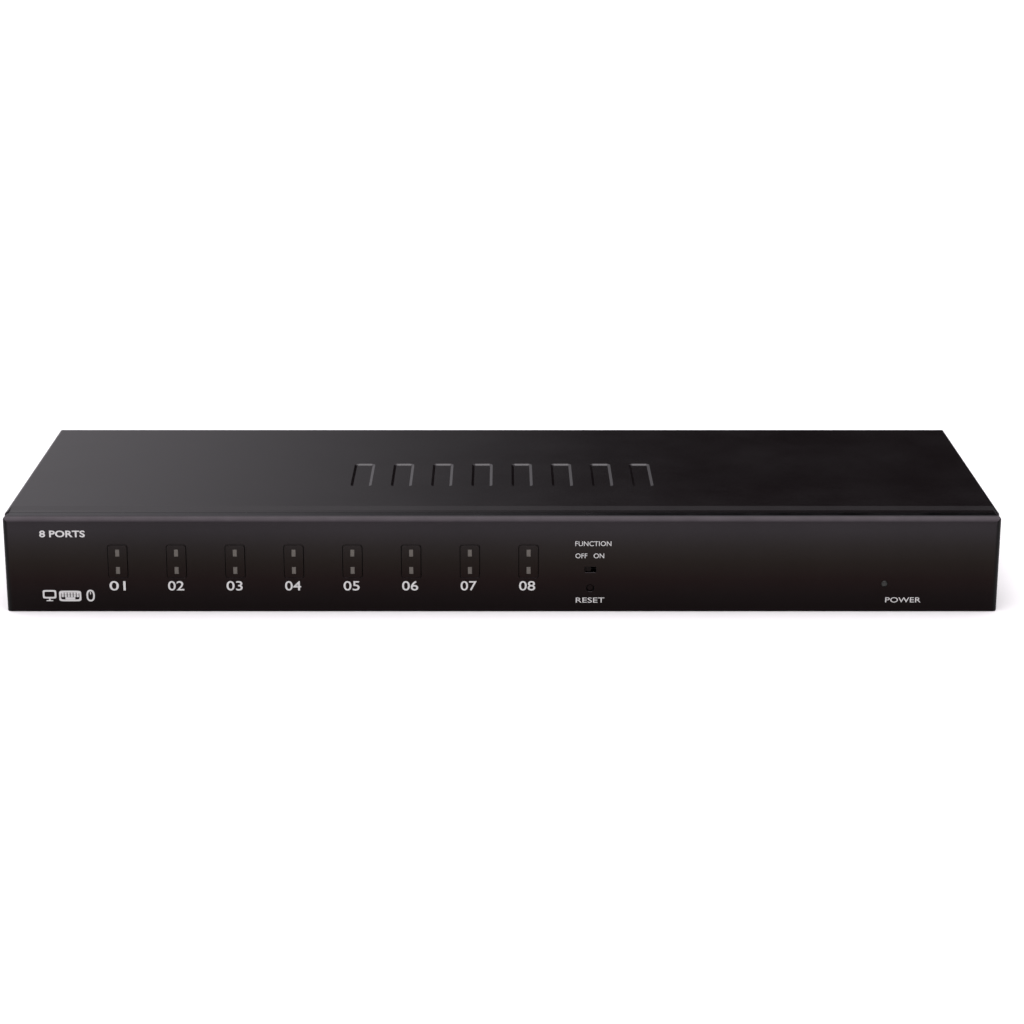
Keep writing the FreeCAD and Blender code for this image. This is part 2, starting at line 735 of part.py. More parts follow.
def power_lens():
    pipe = rod(POWER_X, POWER_Z, POWER_R, FRONT - 0.3, FRONT + 6.0)
    pipe = pipe.makeFillet(0.8, edges_in_plane(pipe, "y", FRONT - 0.3))
    collar = rod(POWER_X, POWER_Z, 2.1, FRONT + BEZEL_WALL, FRONT + BEZEL_WALL + 0.8)
    return joined([pipe, collar])


def indicator_led(x, z):
    """A two-millimetre lamp with a domed end."""
    dome_centre = FRONT + 10.3
    lamp = rod(x, z, 1.0, dome_centre, BOARD_FACE)
    dome = Part.makeSphere(1.0, Vector(x, dome_centre, z))
    base = rod(x, z, 1.15, BOARD_FACE - 0.7, BOARD_FACE)
    return joined([lamp, dome, base])


# ---- Boards ----
def front_board():
    x0, x1, z0, z1 = FRONT_BOARD
    board = rounded(box(x0, x1, BOARD_FACE, BOARD_BACK, z0, z1), 1.5, "y")
    holes = [
        rod(x, z, M3_CLEAR_R, BOARD_FACE - 1, BOARD_BACK + 1) for x in FRONT_POST_XS for z in FRONT_POST_ZS
    ]
    return without(board, holes)


def main_board():
    board = rounded(box(-MAIN_HALF, MAIN_HALF, MAIN_FRONT, MAIN_REAR, MAIN_BOTTOM, MAIN_TOP), 2.0, "z")
    holes = [
        post(x, y, M3_CLEAR_R, MAIN_BOTTOM - 1, MAIN_TOP + 1) for x in MAIN_POST_XS for y in MAIN_POST_YS
    ]
    return without(board, holes)


def board_standoffs():
    """Eight posts clinched in the tray's floor and six on its front wall."""
    posts = []
    for x in MAIN_POST_XS:
        for y in MAIN_POST_YS:
            body = hex_post(Vector(x, y, SHEET), Vector(0, 0, 1), 5.5, POST_HEIGHT, M3_THREAD_R, 5.0)
            posts.append(joined([body, post(x, y, CLINCH_R, 0, SHEET)]))
    inner = TRAY_FRONT + SHEET
    for x in FRONT_POST_XS:
        for z in FRONT_POST_ZS:
            length = BOARD_FACE - inner
            posts.append(hex_post(Vector(x, inner, z), Vector(0, 1, 0), 5.0, length, M3_THREAD_R, 4.0))
    return posts


def board_screws():
    screws = [
        pan_screw(Vector(x, y, MAIN_TOP), Vector(0, 0, 1), BOARD_THICK + 4.5)
        for x in MAIN_POST_XS
        for y in MAIN_POST_YS
    ]
    screws += [
        pan_screw(Vector(x, BOARD_BACK, z), Vector(0, 1, 0), BOARD_THICK + 3.5)
        for x in FRONT_POST_XS
        for z in FRONT_POST_ZS
    ]
    return screws


def case_screws():
    """The cover's rear and side screws, and the ground screw on the rear wall."""
    back = Vector(0, 1, 0)
    screws = [pan_screw(Vector(x, REAR, LIP_SCREW_Z), back, 5.0) for x in LIP_SCREW_XS]
    screws.append(pan_screw(Vector(GROUND_X, TRAY_REAR, GROUND_Z), back, 5.0))
    for y in SIDE_SCREW_YS:
        for side in (-1, 1):
            screws.append(flat_screw(Vector(side * WIDTH / 2, y, SIDE_SCREW_Z), Vector(side, 0, 0), 5.0))
    return screws


def ribbon_headers():
    back = BOARD_BACK + HEADER
    upright = centred(RIBBON_X, RIBBON_Z, HEADER_LENGTH, HEADER, BOARD_BACK, back)
    y0 = ribbon_drop_y() - HEADER / 2
    flat = centred(RIBBON_X, MAIN_TOP + HEADER / 2, HEADER_LENGTH, HEADER, y0, y0 + HEADER)
    return [rounded(upright, 0.5, "y"), rounded(flat, 0.5, "z")]


def ribbon_drop_y():
    """Where the ribbon cable drops to the main board's header."""
    return BOARD_BACK + HEADER + 10.0 + RIBBON_BEND


def ribbon_cable():
    """A flat cable that leaves one header rearwards and turns down into the other."""
    start = BOARD_BACK + HEADER
    bend_y = ribbon_drop_y() - RIBBON_BEND
    centre_z = RIBBON_Z - RIBBON_BEND
    end = MAIN_TOP + HEADER
    x0 = RIBBON_X - RIBBON_WIDTH / 2

    def point(y, z):
        return Vector(x0, y, z)

    def at(radius, angle):
        turn = math.radians(angle)
        return point(bend_y + radius * math.cos(turn), centre_z + radius * math.sin(turn))

    outer = RIBBON_BEND + RIBBON_THICK / 2
    inner = RIBBON_BEND - RIBBON_THICK / 2
    edges = [
        Part.LineSegment(point(start, centre_z + outer), at(outer, 90)),
        Part.Arc(at(outer, 90), at(outer, 45), at(outer, 0)),
        Part.LineSegment(at(outer, 0), point(bend_y + outer, end)),
        Part.LineSegment(point(bend_y + outer, end), point(bend_y + inner, end)),
        Part.LineSegment(point(bend_y + inner, end), at(inner, 0)),
        Part.Arc(at(inner, 0), at(inner, 45), at(inner, 90)),
        Part.LineSegment(at(inner, 90), point(start, centre_z + inner)),
        Part.LineSegment(point(start, centre_z + inner), point(start, centre_z + outer)),
    ]
    outline = Part.Wire([edge.toShape() for edge in edges])
    return Part.Face(outline).extrude(Vector(RIBBON_WIDTH, 0, 0))


def chip(x, y, width, length, height):
    """A flat chip: a moulded body over the sheet of its lead frame."""
    sheet = 0.3
    half_x = width / 2
    half_y = length / 2
    top = MAIN_TOP + height
    body = box(x - half_x, x + half_x, y - half_y, y + half_y, MAIN_TOP + sheet, top)
    body = rounded(body, 0.4, "z")
    body = body.makeChamfer(0.3, edges_in_plane(body, "z", top))
    lead_x = half_x + LEAD_LENGTH
    lead_y = half_y - 0.8
    leads = box(x - lead_x, x + lead_x, y - lead_y, y + lead_y, MAIN_TOP, MAIN_TOP + sheet)
    return joined([body, leads])


def logic_chips():
    """A switching chip ahead of each port and the controller in the middle."""
    chips = [chip(x, CHIP_Y, 10.0, 14.0, 1.9) for x in CPU_XS]
    chips.append(chip(CONTROLLER_X, CONTROLLER_Y, 20.0, 20.0, 2.4))
    return chips


def capacitors():
    top = MAIN_TOP + CAN_HEIGHT
    cans = []
    for index in range(CANS):
        can = post(CAN_FIRST_X + CAN_PITCH * index, CAN_Y, CAN_R, MAIN_TOP, top)
        cans.append(can.makeFillet(0.5, edges_in_plane(can, "z", top)))
    return cans


# ---- Rear connectors ----
def plug_shell(x):
    """The metal flange and D-shaped skirt of a fifteen-way connector."""
    panel = TRAY_REAR - SHEET
    flange = rounded(centred(x, PLUG_Z, *D_FLANGE, panel - 0.8, panel), 1.2, "y")
    skirt = d_block(x, PLUG_Z, D_WIDTH, D_HEIGHT, D_ROUND, panel - 0.8, D_TIP)
    core = d_block(
        x,
        PLUG_Z,
        D_WIDTH - 2 * D_SKIN,
        D_HEIGHT - 2 * D_SKIN,
        D_ROUND - D_SKIN,
        panel - 2,
        D_TIP + 1,
    )
    cutters = [core]
    for side in (-1, 1):
        cutters.append(rod(x + side * SCREW_PITCH / 2, PLUG_Z, 1.55, panel - 2, panel + 1))
    return without(joined([flange, skirt]), cutters)


def plug_insert(x):
    """The insulator: the D-shaped face with its fifteen contacts' holes, and the housing."""
    panel = TRAY_REAR - SHEET
    gap = 0.03
    face = d_block(
        x,
        PLUG_Z,
        D_WIDTH - 2 * D_SKIN - 2 * gap,
        D_HEIGHT - 2 * D_SKIN - 2 * gap,
        D_ROUND - D_SKIN,
        panel - 2.0,
        D_TIP - 0.3,
    )
    half = D_HOUSING_WIDTH / 2
    top = PLUG_Z + D_HOUSING_RISE
    housing = box(x - half, x + half, panel - D_HOUSING_DEPTH, panel - 0.8 - gap, MAIN_TOP, top)
    housing = rounded(housing, 0.8, "y")
    holes = []
    for row in range(3):
        for column in range(5):
            hole_x = x + (column - 2) * CONTACT_PITCH + (row - 1) * CONTACT_STAGGER
            hole_z = PLUG_Z + (1 - row) * CONTACT_ROW
            holes.append(rod(hole_x, hole_z, CONTACT_R, D_TIP - 5.0, D_TIP + 1))
    for side in (-1, 1):
        holes.append(rod(x + side * SCREW_PITCH / 2, PLUG_Z, 1.55, panel - 9.0, panel + 1))
    return without(joined([face, housing]), holes)


def jackscrews():
    """Two hexagonal jackscrews to a connector, threaded for a cable's thumbscrews."""
    screws = []
    for x in video_xs():
        for side in (-1, 1):
            origin = Vector(x + side * SCREW_PITCH / 2, TRAY_REAR, PLUG_Z)
            length = REAR + CONNECTOR_PROUD - TRAY_REAR
            head = hex_post(origin, Vector(0, 1, 0), JACK_FLATS, length, JACK_BORE_R, length - 0.5)
            shank = rod(origin.x, origin.z, M3_R, TRAY_REAR - 9.0, TRAY_REAR)
            screws.append(joined([head, shank]))
    return screws


def round_socket(z):
    """A six-way round socket in its square body."""
    face = TRAY_REAR + SOCKET_PROUD
    body = centred(SOCKET_X, z, SOCKET_WIDTH, SOCKET_HEIGHT - 0.04, SOCKET_INNER, face)
    body = rounded(body, 0.6, "y")
    groove = rod(SOCKET_X, z, ROUND_SHIELD_R, face - 6.5, face + 1)
    groove = groove.cut(rod(SOCKET_X, z, ROUND_CORE_R, face - 7, face + 2))
    cutters = [groove, centred(SOCKET_X, z - 1.2, 2.4, 1.2, face - 5.0, face + 1)]
    for angle in ROUND_PIN_ANGLES:
        turn = math.radians(angle)
        pin_x = SOCKET_X + 2.6 * math.cos(turn)
        pin_z = z + 0.5 + 2.4 * math.sin(turn)
        cutters.append(rod(pin_x, pin_z, 0.42, face - 5.0, face + 1))
    return without(body, cutters)


def usb_openings():
    """The z of each opening of the stacked pair."""
    return (MAIN_TOP + USB_INSET, MAIN_TOP + USB_HEIGHT - USB_INSET)


def usb_console_shell():
    face = TRAY_REAR + 0.4
    z = MAIN_TOP + USB_HEIGHT / 2
    shell = rounded(centred(USB_X, z, USB_WIDTH, USB_HEIGHT, SOCKET_INNER, face), 0.5, "y")
    pockets = [
        centred(USB_X, middle, *USB_OPENING, face - SOCKET_BORE, face + 1) for middle in usb_openings()
    ]
    return without(shell, pockets)


def usb_tongues():
    face = TRAY_REAR + 0.4
    blocks = [
        centred(USB_X, z + USB_TONGUE_RISE, *USB_TONGUE, face - SOCKET_BORE, face - 0.9)
        for z in usb_openings()
    ]
    return [rounded(block, 0.3, "y") for block in blocks]


def dc_inlet():
    face = TRAY_REAR + SOCKET_PROUD
    z = MAIN_TOP + DC_HEIGHT / 2
    body = rounded(centred(DC_X, z, DC_WIDTH, DC_HEIGHT, SOCKET_INNER, face), 0.6, "y")
    return body.cut(rod(DC_X, z, DC_BORE_R, face - SOCKET_BORE, face + 1))


def dc_inlet_pin():
    face = TRAY_REAR + SOCKET_PROUD
    pin = rod(DC_X, MAIN_TOP + DC_HEIGHT / 2, DC_PIN_R, face - SOCKET_BORE, face - 0.8)
    return pin.makeFillet(0.6, edges_in_plane(pin, "y", face - 0.8))


# ---- Nodes ----
def build():
    os.makedirs("parts", exist_ok=True)
    save("base_tray", base_tray())
    save("top_cover", top_cover())
    save("front_bezel", front_bezel())
    switch_places = [(port_x(index), PORT_Z) for index in range(PORTS)]
    for number, (x, z) in enumerate(switch_places, 1):
        save(f"port_button_{number}", port_button(x))
        save(f"port_lens_{number}", port_lenses(x))
        save(f"switch_plunger_{number}", switch_plunger(x, z))
    save("reset_button", reset_button())
    save("reset_plunger", switch_plunger(RESET_X, RESET_Z))
    save("firmware_slider", firmware_slider())
    save("slide_switch_frame", slide_switch_frame())
    save("power_lens", power_lens())
    save("switch_bodies", [switch_body(x, z) for x, z in switch_places + [(RESET_X, RESET_Z)]])
    lamp_places = [(x, z + side * LAMP_OFFSET) for x, z in switch_places for side in (-1, 1)]
    save("indicator_leds", [indicator_led(x, z) for x, z in lamp_places + [(POWER_X, POWER_Z)]])
    save("front_board", front_board())
    save("main_board", main_board())
    save("board_standoffs", board_standoffs())
    save("board_screws", board_screws())
    save("case_screws", case_screws())
    save("ribbon_headers", ribbon_headers())
    save("ribbon_cable", ribbon_cable())
    save("logic_chips", logic_chips())
    save("capacitors", capacitors())
    for number, x in enumerate(CPU_XS, 1):
        save(f"cpu_port_shell_{number}", plug_shell(x))
    save("console_video_shell", plug_shell(VIDEO_X))
    save("plug_inserts", [plug_insert(x) for x in video_xs()])
    save("jackscrews", jackscrews())
    save("keyboard_socket", round_socket(MAIN_TOP + SOCKET_HEIGHT / 2))
    save("mouse_socket", round_socket(MAIN_TOP + 1.5 * SOCKET_HEIGHT))
    save("usb_console_shell", usb_console_shell())
    save("usb_tongues", usb_tongues())
    save("dc_inlet", dc_inlet())
    save("dc_inlet_pin", dc_inlet_pin())


build()
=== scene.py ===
import json
import math

import bmesh
import bpy
from mathutils import Matrix, Vector


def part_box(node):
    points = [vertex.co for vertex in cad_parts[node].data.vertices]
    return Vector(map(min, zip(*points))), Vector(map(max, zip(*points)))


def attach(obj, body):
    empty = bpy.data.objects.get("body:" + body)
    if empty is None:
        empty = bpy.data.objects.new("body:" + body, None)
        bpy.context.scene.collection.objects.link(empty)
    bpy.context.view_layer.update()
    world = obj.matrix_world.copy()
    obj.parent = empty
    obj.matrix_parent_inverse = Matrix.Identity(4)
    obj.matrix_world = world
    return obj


# Looks for the eight-port keyboard, video and mouse switch. Metres, in the CAD's frame: X runs along the
# width, +Y towards the rear and +Z up. Sizes that are easier to read in millimetres are multiplied by MM.

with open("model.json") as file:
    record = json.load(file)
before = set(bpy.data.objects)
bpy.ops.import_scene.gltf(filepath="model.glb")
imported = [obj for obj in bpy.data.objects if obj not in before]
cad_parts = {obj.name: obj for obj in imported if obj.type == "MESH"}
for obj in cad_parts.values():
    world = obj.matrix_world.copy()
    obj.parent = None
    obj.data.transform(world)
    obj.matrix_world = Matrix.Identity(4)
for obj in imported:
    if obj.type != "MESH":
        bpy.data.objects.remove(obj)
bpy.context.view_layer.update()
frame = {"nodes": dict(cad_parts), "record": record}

MM = 0.001
PORTS = range(1, 9)
NODES = frame["nodes"]
MOUNTS = {mount["name"]: Vector(mount["pos_m"]) for mount in frame["record"]["mounts"]}
BEZEL_LOW, BEZEL_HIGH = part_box("front_bezel")
FACE_Y = BEZEL_LOW.y  # the bezel's face
WALL_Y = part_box("base_tray")[1].y  # the rear wall's outer face
VIDEO_MOUNTS = [f"cpu_port_{n}" for n in PORTS] + ["console_video"]

# Camera, placed so that the outlines of the face and the top fit
PITCH = math.radians(16.63)
DISTANCE = 1.074
AIM_Z = 46.0 * MM
LENS = 86.4  # this and the sensor's width are in Blender's millimetres
SENSOR = 36.0
SHIFT_X = 0.0098
CLIP_START = 0.01

# Floor and lights
FLOOR_HALF = 14.0
SUN_ENERGY = 3.3
SUN_ANGLE = math.radians(76)
SUN_COLOUR = (1.0, 0.965, 0.985)
SUN_TURN = (math.radians(3), math.radians(1), 0)
SURROUND_COLOUR = (0.975, 0.94, 1.0, 1)
SIDE_FADE = (-0.32, 0.09, 0.58, 0.0)  # by how far right a direction points: bright, then dark
UPPER_FADE = (0.38, 0.60, 0.0, 0.60)  # by how far up it points: dark, then bright

# Sockets of the shader nodes
RANGE_SOCKETS = ("From Min", "From Max", "To Min", "To Max")
MIX_COLOURS = (6, 7)  # a mix node's two colour inputs
MIX_RESULT = 2  # its colour output

# Words on the face: the node they stand by, how far right of its middle and above it they are, and their
# height and width, in millimetres
FACE_WORDS = (
    ("FUNCTION", "slide_switch_frame", 1.2, 12.0, 2.2, 15.8),
    ("OFF   ON", "slide_switch_frame", -0.3, 6.4, 2.2, 12.6),
    ("RESET", "reset_button", 0.0, -5.6, 2.4, 12.6),
    ("POWER", "power_lens", 8.5, -7.5, 2.4, 15.6),
)
NUMBER_LEFT = 0.6 * MM  # of a button's middle
NUMBER_BELOW = 2.8 * MM  # a button's foot, to the number's middle
NUMBER_HEIGHT = 4.4 * MM
NUMBER_WIDTH = 7.1 * MM
MARKS_LEFT = 16.4 * MM  # from the bezel's left edge
MARKS_UP = 7.5 * MM  # from its foot
HEADING_DOWN = 7.6 * MM  # from its top
HEADING_RIGHT = 9.8 * MM  # from the marks' left end to the heading's middle
HEADING_HEIGHT = 3.1 * MM
HEADING_WIDTH = 20.0 * MM

# Rear prints
REAR_PRINT_UP = 11.4 * MM  # above a video socket's middle
REAR_NUMBER_HEIGHT = 3.6 * MM
RULES = ((-8.0 * MM, -2.6 * MM), (2.6 * MM, 8.0 * MM))  # left and right of a number
RULE_HALF = 0.15 * MM
REAR_PRINT_BESIDE = 10.7 * MM  # beside a round socket's middle
MONITOR_WIDTH = 5.6 * MM
KEYBOARD_WIDTH = 5.2 * MM
MOUSE_HEIGHT = 4.4 * MM
CURRENT_UP = 9.4 * MM  # the direct-current symbol, above the inlet's middle
EARTH_UP = 7.6 * MM  # the earth symbol, above the ground screw
SYMBOL_LINE = 0.35 * MM

# Contacts of a fifteen-way socket
PIN_PITCH = 2.29 * MM
PIN_STAGGER = 0.57 * MM
PIN_ROW_PITCH = 1.98 * MM
PIN_R = 0.46 * MM
PIN_WALL = 0.16 * MM
PIN_SUNK = 0.7 * MM  # its mouth, behind the socket's
PIN_LENGTH = 3.8 * MM

# Contacts of a round socket
SHIELD_R = 4.72 * MM
SHIELD_WALL = 0.2 * MM
SHIELD_DEPTHS = (6.2 * MM, 0.5 * MM)  # its ends, behind the socket's face
ROUND_PIN_ANGLES = (0, 40, 140, 180, 240, 300)
ROUND_PIN_ACROSS = 2.6 * MM  # half the width of the oval that they stand on
ROUND_PIN_UP = 2.4 * MM  # half its height
ROUND_PIN_RISE = 0.5 * MM  # its middle, above the socket's
ROUND_PIN_R = 0.39 * MM
ROUND_PIN_WALL = 0.13 * MM
ROUND_PIN_DEPTHS = (4.6 * MM, 0.6 * MM)

# Contacts of the double socket
TONGUE_HEIGHT = 1.9 * MM
TONGUE_RISE = 1.15 * MM  # of a tongue's middle over its opening's
OPENING_HEIGHT = 5.1 * MM
STRIP_XS = (-3.5 * MM, -1.0 * MM, 1.0 * MM, 3.5 * MM)
STRIP_HALF = 0.5 * MM
STRIP_THICK = 0.12 * MM
STRIP_ENDS = (1 * MM, 0.6 * MM)  # inside the tongue's inner and outer ends
STRIP_BEVEL = 0.04 * MM
FINGER_XS = (-3.1 * MM, 3.1 * MM)
FINGER_SUNK = 1.0 * MM
FINGER_HALF = 0.9 * MM
FINGER_REACH = 7.0 * MM
FINGER_BOW = 0.55 * MM
FINGER_THICK = 0.12 * MM
FINGER_STEPS = 8


def middle(node):
    """The middle of a CAD node's box."""
    low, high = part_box(node)
    return (low + high) / 2


# ---- Camera, floor and lights ----
def make_camera():
    """The camera stands in front of the object, a little above it, and looks down at its face."""
    aim = Vector((0, FACE_Y, AIM_Z))
    camera = bpy.data.objects.new("camera", bpy.data.cameras.new("camera"))
    camera.data.lens = LENS
    camera.data.sensor_width = SENSOR
    camera.data.shift_x = SHIFT_X
    camera.data.clip_start = CLIP_START
    camera.location = aim - DISTANCE * Vector((0, math.cos(PITCH), -math.sin(PITCH)))
    camera.rotation_euler = (math.pi / 2 - PITCH, 0, 0)
    bpy.context.scene.collection.objects.link(camera)
    bpy.context.scene.camera = camera


def make_floor():
    """A pale floor that fills the whole view."""
    builder = bmesh.new()
    bmesh.ops.create_grid(builder, x_segments=4, y_segments=4, size=FLOOR_HALF)
    floor = piece("floor", builder)
    look = Look("floor_paper", roughness=0.9, specular=0.1)
    look.colour(look.mix(look.noise(3.0, detail=3), (0.80, 0.80, 0.80), (0.83, 0.83, 0.83)))
    look.on(floor)


def make_lights():
    """A wide soft light overhead in a surround that is bright on the left and dark on the right."""
    sun = bpy.data.lights.new("overhead", "SUN")
    sun.energy = SUN_ENERGY
    sun.angle = SUN_ANGLE
    sun.color = SUN_COLOUR
    lamp = bpy.data.objects.new("overhead", sun)
    lamp.rotation_euler = SUN_TURN
    bpy.context.scene.collection.objects.link(lamp)

    world = bpy.data.worlds.new("surround")
    world.use_nodes = True
    tree = world.node_tree
    split = tree.nodes.new("ShaderNodeSeparateXYZ")
    tree.links.new(tree.nodes.new("ShaderNodeTexCoord").outputs["Generated"], split.inputs["Vector"])

    def fade(axis, low, high, to_low, to_high):
        """A smooth change from to_low to to_high as the direction's axis part goes from low to high."""
        node = tree.nodes.new("ShaderNodeMapRange")
        node.interpolation_type = "SMOOTHSTEP"
        tree.links.new(split.outputs[axis], node.inputs["Value"])
        for socket, number in zip(RANGE_SOCKETS, (low, high, to_low, to_high)):
            node.inputs[socket].default_value = number
        return node.outputs["Result"]

    total = tree.nodes.new("ShaderNodeMath")
    tree.links.new(fade("X", *SIDE_FADE), total.inputs[0])
    tree.links.new(fade("Z", *UPPER_FADE), total.inputs[1])
    background = tree.nodes["Background"]
    background.inputs["Color"].default_value = SURROUND_COLOUR
    tree.links.new(total.outputs["Value"], background.inputs["Strength"])
    bpy.context.scene.world = world


# ---- Materials ----
class Look:
    """A node material: one Principled shader, and the textures that feed it."""

    def __init__(self, name, roughness=0.5, metallic=0.0, specular=0.5):
        self.material = bpy.data.materials.new(name)
        self.material.use_nodes = True
        self.tree = self.material.node_tree
        self.shader = self.tree.nodes["Principled BSDF"]
        self.place = self.add("ShaderNodeTexCoord").outputs["Object"]
        self.normal = None
        self.set("Roughness", roughness)
        self.set("Metallic", metallic)
        self.set("Specular IOR Level", specular)

    def add(self, kind, **settings):
        node = self.tree.nodes.new(kind)
        for key, value in settings.items():
            setattr(node, key, value)
        return node

    def set(self, socket, value):
        if hasattr(value, "is_output"):
            self.tree.links.new(value, self.shader.inputs[socket])
        else:
            self.shader.inputs[socket].default_value = value

    def feed(self, node, socket, value):
        """Links value to a node's input, or sets it there when it's a plain number or colour."""
        if hasattr(value, "is_output"):
            self.tree.links.new(value, node.inputs[socket])
        elif isinstance(value, tuple) and len(value) == 3 and node.inputs[socket].type == "RGBA":
            node.inputs[socket].default_value = (*value, 1)
        else:
            node.inputs[socket].default_value = value

    def stretched(self, x, y, z):
        """Coordinates that are scaled along each axis, for brushed or drawn grain."""
        mapping = self.add("ShaderNodeMapping")
        self.feed(mapping, "Vector", self.place)
        self.feed(mapping, "Scale", (x, y, z))
        return mapping.outputs["Vector"]

    def noise(self, size, detail=2.0, roughness=0.5, place=None):
        """Soft noise from 0 to 1 whose blobs are about size across, in metres."""
        node = self.add("ShaderNodeTexNoise")
        self.feed(node, "Vector", place or self.place)
        self.feed(node, "Scale", 1 / size)
        self.feed(node, "Detail", detail)
        self.feed(node, "Roughness", roughness)
        return node.outputs["Fac"]

    def cells(self, size):
        """The distance to the nearest of random points about size apart."""
        node = self.add("ShaderNodeTexVoronoi")
        self.feed(node, "Vector", self.place)
        self.feed(node, "Scale", 1 / size)
        return node.outputs["Distance"]

    def stripes(self, size):
        """Even waves from 0 to 1 that repeat every size along X, in metres."""
        node = self.add("ShaderNodeTexWave")
        self.feed(node, "Vector", self.place)
        self.feed(node, "Scale", math.pi / (10 * size))
        return node.outputs["Fac"]

    def lines(self, size, width):
        """1 on the joints of a running bond of rectangles, as tracks run on a board."""
        node = self.add("ShaderNodeTexBrick")
        self.feed(node, "Vector", self.place)
        self.feed(node, "Scale", 1 / size)
        self.feed(node, "Mortar Size", width)
        self.feed(node, "Mortar Smooth", 0.3)
        return node.outputs["Fac"]

    def ramp(self, value, low, high, to_low=0.0, to_high=1.0, smooth=False):
        """value, taken from the range low to high to the range to_low to to_high."""
        node = self.add("ShaderNodeMapRange", interpolation_type="SMOOTHSTEP" if smooth else "LINEAR")
        self.feed(node, "Value", value)
        for socket, number in zip(RANGE_SOCKETS, (low, high, to_low, to_high)):
            self.feed(node, socket, number)
        return node.outputs["Result"]

    def spread(self, noise, low, high):
        """noise, from low to high over the range where most of its values lie."""
        return self.ramp(noise, 0.3, 0.7, low, high)

    def times(self, a, b):
        node = self.add("ShaderNodeMath", operation="MULTIPLY")
        self.feed(node, 0, a)
        self.feed(node, 1, b)
        return node.outputs["Value"]

    def plus(self, a, b):
        node = self.add("ShaderNodeMath", operation="ADD")
        self.feed(node, 0, a)
        self.feed(node, 1, b)
        return node.outputs["Value"]

    def mix(self, factor, a, b):
        """The colour that goes from a to b as factor goes from 0 to 1."""
        node = self.add("ShaderNodeMix", data_type="RGBA")
        self.feed(node, "Factor", factor)
        for index, value in zip(MIX_COLOURS, (a, b)):
            self.feed(node, index, value)
        return node.outputs[MIX_RESULT]

    def shades(self, value, stops):
        """A colour that runs through stops, each a place from 0 to 1 and a colour, as value rises."""
        node = self.add("ShaderNodeValToRGB")
        self.feed(node, "Fac", value)
        elements = node.color_ramp.elements
        while len(elements) < len(stops):
            elements.new(1.0)
        for element, (place, colour) in zip(elements, stops):
            element.position = place
            element.color = (*colour, 1)
        return node.outputs["Color"]

    def scaled(self, colour, factor):
        node = self.add("ShaderNodeVectorMath", operation="SCALE")
        self.feed(node, 0, colour)
        self.feed(node, "Scale", factor)
        return node.outputs["Vector"]

    def edges(self, radius):
        """1 on edges sharper than radius and 0 away from them."""
        bevel = self.add("ShaderNodeBevel", samples=4)
        self.feed(bevel, "Radius", radius)
        geometry = self.add("ShaderNodeNewGeometry")
        difference = self.add("ShaderNodeVectorMath", operation="DISTANCE")
        self.feed(difference, 0, bevel.outputs["Normal"])
        self.feed(difference, 1, geometry.outputs["Normal"])
        return self.ramp(difference.outputs["Value"], 0.05, 0.5)

    def height(self):
        """How far above the floor the surface is, in metres."""
        split = self.add("ShaderNodeSeparateXYZ")
        self.feed(split, "Vector", self.place)
        return split.outputs["Z"]

    def tilt(self):
        """How much the surface faces up: 1 when level, 0 when upright and -1 when it faces down."""
        split = self.add("ShaderNodeSeparateXYZ")
        self.feed(split, "Vector", self.add("ShaderNodeNewGeometry").outputs["Normal"])
        return split.outputs["Z"]

    def sideways(self, low, high):
        """0 to 1 as the surface turns to face left or right, from low to high."""
        split = self.add("ShaderNodeSeparateXYZ")
        self.feed(split, "Vector", self.add("ShaderNodeNewGeometry").outputs["Normal"])
        size = self.add("ShaderNodeMath", operation="ABSOLUTE")
        self.feed(size, 0, split.outputs["X"])
        return self.ramp(size.outputs["Value"], low, high)

    def bump(self, height, depth):
        """Raises the surface by height times depth, in metres, on top of the bumps before it."""
        node = self.add("ShaderNodeBump")
        self.feed(node, "Height", height)
        self.feed(node, "Distance", depth)
        if self.normal is not None:
            self.feed(node, "Normal", self.normal)
        self.normal = node.outputs["Normal"]
        self.set("Normal", self.normal)

    def colour(self, value):
        self.set("Base Color", value)

    def on(self, *things):
        """Puts the material on these objects or CAD nodes, in place of what they have."""
        for thing in things:
            target = NODES[thing] if isinstance(thing, str) else thing
            target.data.materials.clear()
            target.data.materials.append(self.material)


def painted_steel():
    """Black powder coat: a fine orange peel, faint handling marks and edges rubbed a little lighter."""
    look = Look("painted_steel", specular=0.5)
    base = look.mix(look.noise(60 * MM, detail=4), (0.0026, 0.0014, 0.0017), (0.0035, 0.0020, 0.0024))
    speck = look.ramp(look.noise(0.7 * MM, detail=2), 0.70, 0.80)
    base = look.mix(look.times(speck, 0.35), base, (0.03, 0.03, 0.033))
    worn = look.times(look.edges(0.5 * MM), look.noise(4 * MM, detail=3))
    look.colour(look.mix(look.times(worn, 0.35), base, (0.05, 0.05, 0.055)))
    smear = look.noise(35 * MM, detail=5, roughness=0.65)
    look.set("Roughness", look.spread(smear, 0.21, 0.26))
    look.bump(look.noise(0.9 * MM, detail=3), 0.006 * MM)
    look.on("top_cover", "base_tray")


# Painted shade: the front is coloured lighter and greyer at its top and darker and browner towards its foot.
SMOKE_AND_PAINTED_SHADE = (  # how far up the front, and the colour there
    (0.16, (0.0025, 0.0002, 0.0002)),
    (0.34, (0.0062, 0.0016, 0.0013)),
    (0.52, (0.0098, 0.0063, 0.0046)),
    (0.69, (0.0156, 0.0124, 0.0116)),
    (0.86, (0.0237, 0.0205, 0.0226)),
)


def smoky(look):
    """The front's smoky black with painted shade: lighter and greyer towards its top, darker and browner
    towards its foot.
    """
    shade = look.shades(look.ramp(look.height(), BEZEL_LOW.z, BEZEL_HIGH.z), SMOKE_AND_PAINTED_SHADE)
    return look.scaled(shade, look.spread(look.noise(50 * MM, detail=4), 0.93, 1.07))


